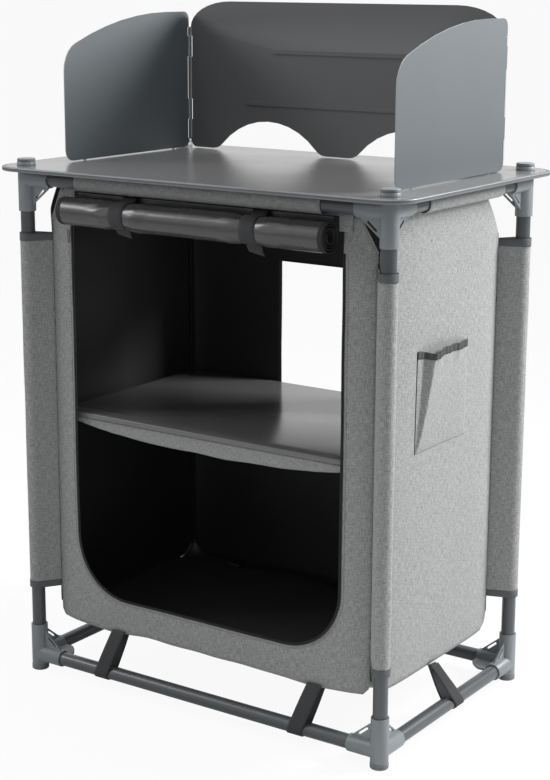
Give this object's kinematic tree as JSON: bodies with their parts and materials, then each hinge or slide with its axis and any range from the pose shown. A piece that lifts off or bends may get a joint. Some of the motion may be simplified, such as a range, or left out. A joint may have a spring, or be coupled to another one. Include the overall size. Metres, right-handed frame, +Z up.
{
  "type": "camping cupboard",
  "caption": "Knock-down camping cupboard: tube frame with moulded corners, lift-off top, folding three-panel windscreen, hung fabric cabinet with shelf and rolled-up door.",
  "frame": {"origin": "on the floor, under the middle of the worktop and of the four legs", "axes": "+Z up, +X to the right of a person who stands in front of the door, so the front faces -Y"},
  "size_m": [0.735, 0.483, 1.0771],
  "materials": {
    "tube_grey": "satin powder coat",
    "connector_grey": "moulded, fine matte",
    "foot_grey": "moulded, fine matte",
    "board_graphite": "graphite laminate, semi-gloss",
    "trim_metal": "satin grey",
    "screen_charcoal": "satin charcoal coating",
    "pin_steel": "satin",
    "cloth_grey": "heathered weave",
    "door_coated": "coated, slightly shiny inner side",
    "webbing": "woven tape",
    "zip_black": "woven tape with coil",
    "slider_metal": "satin"
  },
  "bodies": {
    "frame": {"connector_bottom_front_left": "connector_grey", "connector_top_front_left": "connector_grey", "foot_front_left": "foot_grey", "top_cap_front_left": "connector_grey", "leg_front_left": "tube_grey", "corner_flap_front_left": "cloth_grey", "connector_bottom_front_right": "connector_grey", "connector_top_front_right": "connector_grey", "foot_front_right": "foot_grey", "top_cap_front_right": "connector_grey", "leg_front_right": "tube_grey", "corner_flap_front_right": "cloth_grey", "connector_bottom_back_right": "connector_grey", "connector_top_back_right": "connector_grey", "foot_back_right": "foot_grey", "top_cap_back_right": "connector_grey", "leg_back_right": "tube_grey", "corner_flap_back_right": "cloth_grey", "connector_bottom_back_left": "connector_grey", "connector_top_back_left": "connector_grey", "foot_back_left": "foot_grey", "top_cap_back_left": "connector_grey", "leg_back_left": "tube_grey", "corner_flap_back_left": "cloth_grey", "rail_bottom_front": "tube_grey", "rail_bottom_back": "tube_grey", "rail_bottom_left": "tube_grey", "rail_bottom_right": "tube_grey", "rail_top_front": "tube_grey", "rail_top_back": "tube_grey", "rail_top_left": "tube_grey", "rail_top_right": "tube_grey", "fabric_front_panel": "cloth_grey", "fabric_back_panel": "cloth_grey", "fabric_left_panel": "cloth_grey", "fabric_right_panel": "cloth_grey", "fabric_floor": "cloth_grey", "shelf_sling": "cloth_grey", "side_pocket": "cloth_grey", "rolled_door": "door_coated", "roll_strap_left": "webbing", "roll_strap_right": "webbing", "pocket_elastic": "webbing", "tie_strap_front_left": "webbing", "tie_strap_front_right": "webbing", "tie_strap_back_left": "webbing", "tie_strap_back_right": "webbing", "tie_strap_left": "webbing", "tie_strap_right": "webbing", "door_zip_tape": "zip_black"},
    "table_top": {"table_board": "board_graphite", "table_edge_trim": "trim_metal"},
    "windscreen": {"windscreen_back_panel": "screen_charcoal", "hinge_pin_left": "pin_steel", "hinge_pin_right": "pin_steel"},
    "left_wing": {"windscreen_left_wing": "screen_charcoal"},
    "right_wing": {"windscreen_right_wing": "screen_charcoal"},
    "shelf": {"shelf_board": "board_graphite"},
    "slider": {"zip_slider": "slider_metal"}
  },
  "joints": [
    {"name": "table_lift", "type": "slide", "parent": "frame", "child": "table_top", "axis": [0, 0, 1], "range_m": [0, 0.05]},
    {"name": "windscreen_lift", "type": "slide", "parent": "table_top", "child": "windscreen", "axis": [0, 0, 1], "range_m": [0, 0.05]},
    {"name": "left_wing_hinge", "type": "hinge", "parent": "windscreen", "child": "left_wing", "pos_m": [-0.30031, 0.18409, 0.8471], "axis": [0, 0, 1], "range_deg": [-87, 88.5]},
    {"name": "right_wing_hinge", "type": "hinge", "parent": "windscreen", "child": "right_wing", "pos_m": [0.30632, 0.16291, 0.8471], "axis": [0, 0, 1], "range_deg": [-91, 88.5]},
    {"name": "shelf_lift", "type": "slide", "parent": "frame", "child": "shelf", "axis": [0, 0, 1], "range_m": [0, 0.04]},
    {"name": "zip_slider_run", "type": "slide", "parent": "frame", "child": "slider", "axis": [0, 0, -1], "range_m": [0, 0.4]}
  ]
}
